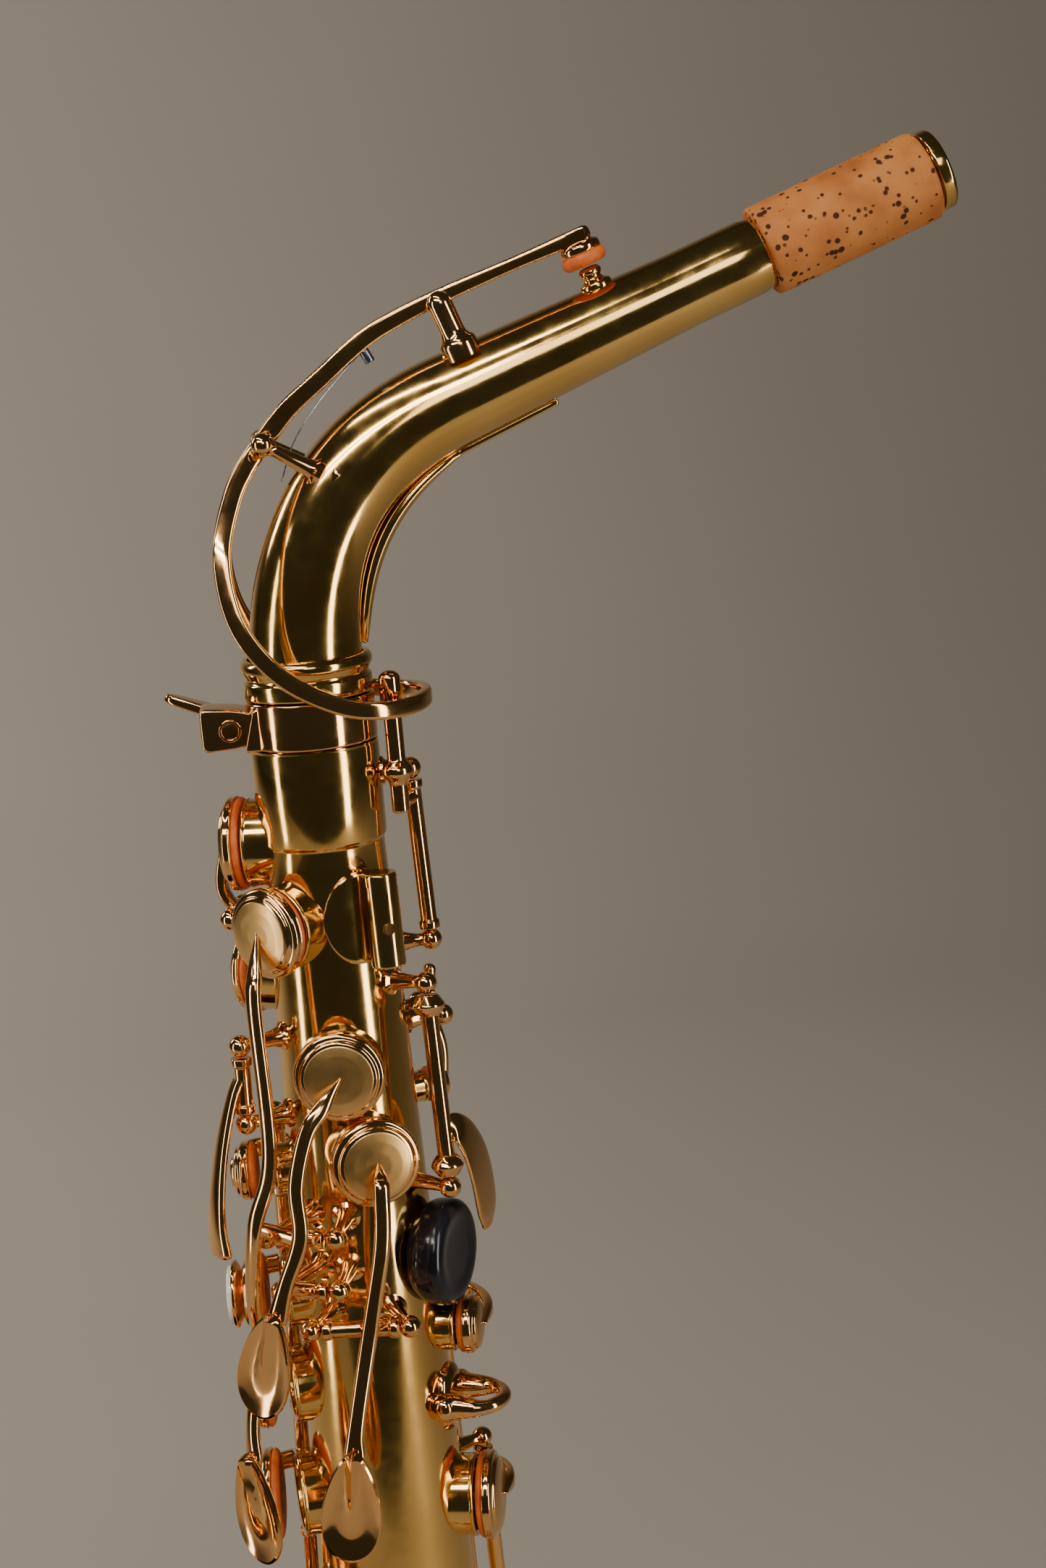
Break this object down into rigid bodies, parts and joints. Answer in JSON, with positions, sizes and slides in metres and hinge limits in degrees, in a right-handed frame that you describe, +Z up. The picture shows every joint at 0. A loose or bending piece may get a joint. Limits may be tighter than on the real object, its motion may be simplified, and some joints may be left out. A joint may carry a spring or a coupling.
{
  "type": "alto saxophone",
  "caption": "Alto saxophone with a removable neck, sprung keywork over a conical body, a bow and a flared bell, hung from its strap ring.",
  "frame": {"origin": "centre of the hole of the strap ring", "axes": "+Z up the body tube, +X towards the player and the mouthpiece end of the neck, -X towards the bell, -Y towards the left hand of the player"},
  "size_m": [0.3008, 0.1298, 0.6564],
  "materials": {
    "gold_lacquer": "clear gold lacquer over polished brass",
    "cork": "natural cork, sanded",
    "pad_leather": "tan pad leather",
    "black_plastic": "polished black plastic",
    "pearl": "polished mother of pearl"
  },
  "bodies": {
    "horn": {"body_tube": "gold_lacquer", "bow": "gold_lacquer", "bell": "gold_lacquer", "bow_ring_body": "gold_lacquer", "bow_ring_bell": "gold_lacquer", "bell_brace": "gold_lacquer", "receiver_clamp": "gold_lacquer", "thumb_rest": "black_plastic", "thumb_hook": "gold_lacquer", "strap_ring": "gold_lacquer", "lyre_holder": "gold_lacquer", "bell_key_guard": "gold_lacquer", "low_c_guard": "gold_lacquer", "low_e_flat_guard": "gold_lacquer"},
    "neck": {"neck_tube": "gold_lacquer", "neck_collar": "gold_lacquer", "neck_brace": "gold_lacquer", "neck_cork": "cork", "neck_end_ring": "gold_lacquer", "neck_octave_pip": "gold_lacquer", "neck_guide_post": "gold_lacquer", "neck_pivot_saddle": "gold_lacquer"},
    "neck_octave_key": {"neck_octave_key": "gold_lacquer", "neck_octave_pad": "pad_leather"},
    "clamp_screw": {"clamp_screw": "gold_lacquer"},
    "palm_f_key": {"palm_f_key": "gold_lacquer"},
    "palm_e_flat_key": {"palm_e_flat_key": "gold_lacquer"},
    "palm_d_key": {"palm_d_key": "gold_lacquer"},
    "octave_thumb_lever": {"octave_thumb_lever": "gold_lacquer"},
    "octave_pin_key": {"octave_pin_key": "gold_lacquer"},
    "body_octave_key": {"body_octave_key": "gold_lacquer"},
    "high_f_sharp_key": {"high_f_sharp_key": "gold_lacquer"},
    "high_e_key": {"high_e_key": "gold_lacquer"},
    "side_c_key": {"side_c_key": "gold_lacquer"},
    "side_b_flat_key": {"side_b_flat_key": "gold_lacquer"},
    "upper_c_key": {"upper_c_key": "gold_lacquer"},
    "b_key": {"b_key": "gold_lacquer", "b_pearl": "pearl"},
    "bis_key": {"bis_key": "gold_lacquer"},
    "a_key": {"a_key": "gold_lacquer", "a_pearl": "pearl"},
    "g_key": {"g_key": "gold_lacquer", "g_pearl": "pearl"},
    "f_sharp_key": {"f_sharp_key": "gold_lacquer"},
    "f_key": {"f_key": "gold_lacquer", "f_pearl": "pearl"},
    "e_key": {"e_key": "gold_lacquer", "e_pearl": "pearl"},
    "d_key": {"d_key": "gold_lacquer", "d_pearl": "pearl"},
    "front_f_lever": {"front_f_lever": "gold_lacquer"},
    "g_sharp_key": {"g_sharp_key": "gold_lacquer"},
    "g_sharp_touch": {"g_sharp_touch": "gold_lacquer"},
    "low_b_flat_key": {"low_b_flat_key": "gold_lacquer"},
    "low_b_key": {"low_b_key": "gold_lacquer"},
    "low_c_sharp_key": {"low_c_sharp_key": "gold_lacquer"},
    "low_e_flat_key": {"low_e_flat_key": "gold_lacquer"},
    "low_c_key": {"low_c_key": "gold_lacquer"}
  },
  "joints": [
    {"name": "neck_swivel", "type": "hinge", "parent": "horn", "child": "neck", "pos_m": [-0.02147, 0.00868, 0.1575], "axis": [0, 0, 1], "range_deg": [-12, 12]},
    {"name": "neck_octave_lift", "type": "hinge", "parent": "neck", "child": "neck_octave_key", "pos_m": [-0.02587, 0.00868, 0.21], "axis": [0, -1, 0], "range_deg": [0, 3], "stiffness_Nm_per_rad": 0.05, "springref_deg": -22.92},
    {"name": "clamp_screw_turn", "type": "hinge", "parent": "horn", "child": "clamp_screw", "pos_m": [-0.03847, 0.00868, 0.1522], "axis": [0, 1, 0], "continuous": true},
    {"name": "palm_f_key_turn", "type": "hinge", "parent": "horn", "child": "palm_f_key", "pos_m": [-0.03487, -0.01528, 0.0479], "axis": [0.9369, -0.3497, 0], "range_deg": [0, 3.4], "stiffness_Nm_per_rad": 0.05, "springref_deg": -22.92},
    {"name": "palm_e_flat_key_turn", "type": "hinge", "parent": "horn", "child": "palm_e_flat_key", "pos_m": [-0.03407, -0.01642, 0.0365], "axis": [0.9621, -0.2726, 0], "range_deg": [0, 4.2], "stiffness_Nm_per_rad": 0.05, "springref_deg": -22.92},
    {"name": "palm_d_key_turn", "type": "hinge", "parent": "horn", "child": "palm_d_key", "pos_m": [-0.02452, -0.01493, 0.02615], "axis": [0.9916, -0.1245, -0.0335], "range_deg": [0, 5], "stiffness_Nm_per_rad": 0.05, "springref_deg": -22.92},
    {"name": "octave_thumb_lever_turn", "type": "hinge", "parent": "horn", "child": "octave_thumb_lever", "pos_m": [-0.00312, -0.00673, 0.07465], "axis": [-0.0205, 0.1187, 0.9927], "range_deg": [0, 8], "stiffness_Nm_per_rad": 0.05, "springref_deg": -22.92},
    {"name": "octave_pin_key_turn", "type": "hinge", "parent": "horn", "child": "octave_pin_key", "pos_m": [-0.00147, 0.00768, 0.12125], "axis": [-0.0307, 0, 0.9995], "range_deg": [0, 20], "stiffness_Nm_per_rad": 0.05, "springref_deg": -22.92},
    {"name": "body_octave_key_turn", "type": "hinge", "parent": "horn", "child": "body_octave_key", "pos_m": [-0.00201, 0.01654, 0.0845], "axis": [0.3746, -0.9272, 0], "range_deg": [0, 5], "stiffness_Nm_per_rad": 0.05, "springref_deg": -22.92},
    {"name": "high_f_sharp_key_turn", "type": "hinge", "parent": "horn", "child": "high_f_sharp_key", "pos_m": [-0.04119, 0.01323, 0.1115], "axis": [-0.225, -0.9744, 0], "range_deg": [0, 9], "stiffness_Nm_per_rad": 0.05, "springref_deg": -22.92},
    {"name": "high_e_key_turn", "type": "hinge", "parent": "horn", "child": "high_e_key", "pos_m": [-0.02488, 0.03295, -0.0055], "axis": [-0.0039, 0.0277, -0.9996], "range_deg": [0, 12], "stiffness_Nm_per_rad": 0.05, "springref_deg": -22.92},
    {"name": "side_c_key_turn", "type": "hinge", "parent": "horn", "child": "side_c_key", "pos_m": [-0.00409, 0.02798, -0.05775], "axis": [-0.0187, -0.0208, 0.9996], "range_deg": [0, 11], "stiffness_Nm_per_rad": 0.05, "springref_deg": -22.92},
    {"name": "side_b_flat_key_turn", "type": "hinge", "parent": "horn", "child": "side_b_flat_key", "pos_m": [0.00272, 0.02047, -0.09125], "axis": [-0.0252, -0.0123, 0.9996], "range_deg": [0, 11], "stiffness_Nm_per_rad": 0.05, "springref_deg": -22.92},
    {"name": "upper_c_key_turn", "type": "hinge", "parent": "horn", "child": "upper_c_key", "pos_m": [-0.03821, 0.02272, 0.054], "axis": [0.0214, -0.018, 0.9996], "range_deg": [0, 11], "stiffness_Nm_per_rad": 0.05, "springref_deg": -22.92},
    {"name": "b_key_turn", "type": "hinge", "parent": "horn", "child": "b_key", "pos_m": [-0.03866, 0.0231, 0.03275], "axis": [0.0214, -0.018, 0.9996], "range_deg": [0, 11], "stiffness_Nm_per_rad": 0.05, "springref_deg": -22.92},
    {"name": "bis_key_turn", "type": "hinge", "parent": "horn", "child": "bis_key", "pos_m": [-0.03918, 0.02353, 0.00875], "axis": [0.0214, -0.018, 0.9996], "range_deg": [0, 11], "stiffness_Nm_per_rad": 0.05, "springref_deg": -22.92},
    {"name": "a_key_turn", "type": "hinge", "parent": "horn", "child": "a_key", "pos_m": [-0.03983, 0.02408, -0.0215], "axis": [0.0214, -0.018, 0.9996], "range_deg": [0, 11], "stiffness_Nm_per_rad": 0.05, "springref_deg": -22.92},
    {"name": "g_key_turn", "type": "hinge", "parent": "horn", "child": "g_key", "pos_m": [-0.04055, 0.02468, -0.055], "axis": [0.0214, -0.018, 0.9996], "range_deg": [0, 11], "stiffness_Nm_per_rad": 0.05, "springref_deg": -22.92},
    {"name": "f_sharp_key_turn", "type": "hinge", "parent": "horn", "child": "f_sharp_key", "pos_m": [-0.0325, 0.03344, -0.134], "axis": [0.0114, -0.0256, 0.9996], "range_deg": [0, 11], "stiffness_Nm_per_rad": 0.05, "springref_deg": -22.92},
    {"name": "f_key_turn", "type": "hinge", "parent": "horn", "child": "f_key", "pos_m": [-0.03284, 0.0342, -0.16375], "axis": [0.0114, -0.0256, 0.9996], "range_deg": [0, 11], "stiffness_Nm_per_rad": 0.05, "springref_deg": -22.92},
    {"name": "e_key_turn", "type": "hinge", "parent": "horn", "child": "e_key", "pos_m": [-0.03328, 0.03519, -0.20225], "axis": [0.0114, -0.0256, 0.9996], "range_deg": [0, 11], "stiffness_Nm_per_rad": 0.05, "springref_deg": -22.92},
    {"name": "d_key_turn", "type": "hinge", "parent": "horn", "child": "d_key", "pos_m": [-0.03366, 0.03605, -0.236], "axis": [0.0114, -0.0256, 0.9996], "range_deg": [0, 11], "stiffness_Nm_per_rad": 0.05, "springref_deg": -22.92},
    {"name": "front_f_lever_turn", "type": "hinge", "parent": "horn", "child": "front_f_lever", "pos_m": [-0.04362, -0.00042, 0.0775], "axis": [0.025, 0.0167, 0.9995], "range_deg": [0, 7], "stiffness_Nm_per_rad": 0.05, "springref_deg": -22.92},
    {"name": "g_sharp_key_turn", "type": "hinge", "parent": "horn", "child": "g_sharp_key", "pos_m": [-0.03198, -0.01491, -0.088], "axis": [0.0114, 0.0256, 0.9996], "range_deg": [0, 12], "stiffness_Nm_per_rad": 0.05, "springref_deg": -22.92},
    {"name": "g_sharp_touch_turn", "type": "hinge", "parent": "horn", "child": "g_sharp_touch", "pos_m": [-0.02496, -0.01616, -0.0615], "axis": [-0.0039, -0.0277, -0.9996], "range_deg": [0, 8], "stiffness_Nm_per_rad": 0.05, "springref_deg": -22.92},
    {"name": "low_b_flat_key_turn", "type": "hinge", "parent": "horn", "child": "low_b_flat_key", "pos_m": [-0.04066, -0.0112, -0.1525], "axis": [-0.0194, -0.0201, -0.9996], "range_deg": [0, 4.5], "stiffness_Nm_per_rad": 0.05, "springref_deg": -22.92},
    {"name": "low_b_key_turn", "type": "hinge", "parent": "horn", "child": "low_b_key", "pos_m": [-0.03389, -0.01679, -0.1775], "axis": [-0.0123, -0.0252, -0.9996], "range_deg": [0, 4.5], "stiffness_Nm_per_rad": 0.05, "springref_deg": -22.92},
    {"name": "low_c_sharp_key_turn", "type": "hinge", "parent": "horn", "child": "low_c_sharp_key", "pos_m": [-0.02551, -0.02007, -0.2025], "axis": [0.0039, 0.0277, 0.9996], "range_deg": [0, 5], "stiffness_Nm_per_rad": 0.05, "springref_deg": -22.92},
    {"name": "low_e_flat_key_turn", "type": "hinge", "parent": "horn", "child": "low_e_flat_key", "pos_m": [-0.00457, 0.03573, -0.2695], "axis": [0.0148, 0.0237, -0.9996], "range_deg": [0, 12], "stiffness_Nm_per_rad": 0.05, "springref_deg": -22.92},
    {"name": "low_c_key_turn", "type": "hinge", "parent": "horn", "child": "low_c_key", "pos_m": [0.00393, 0.02852, -0.2815], "axis": [-0.0221, -0.0172, 0.9996], "range_deg": [0, 7], "stiffness_Nm_per_rad": 0.05, "springref_deg": -22.92}
  ],
  "couplings": [
    {"joint": "octave_pin_key_turn", "follows": "octave_thumb_lever_turn", "ratio": 2.5},
    {"joint": "neck_octave_lift", "follows": "octave_thumb_lever_turn", "ratio": 0.35},
    {"joint": "g_sharp_key_turn", "follows": "g_sharp_touch_turn", "ratio": 1.5}
  ]
}
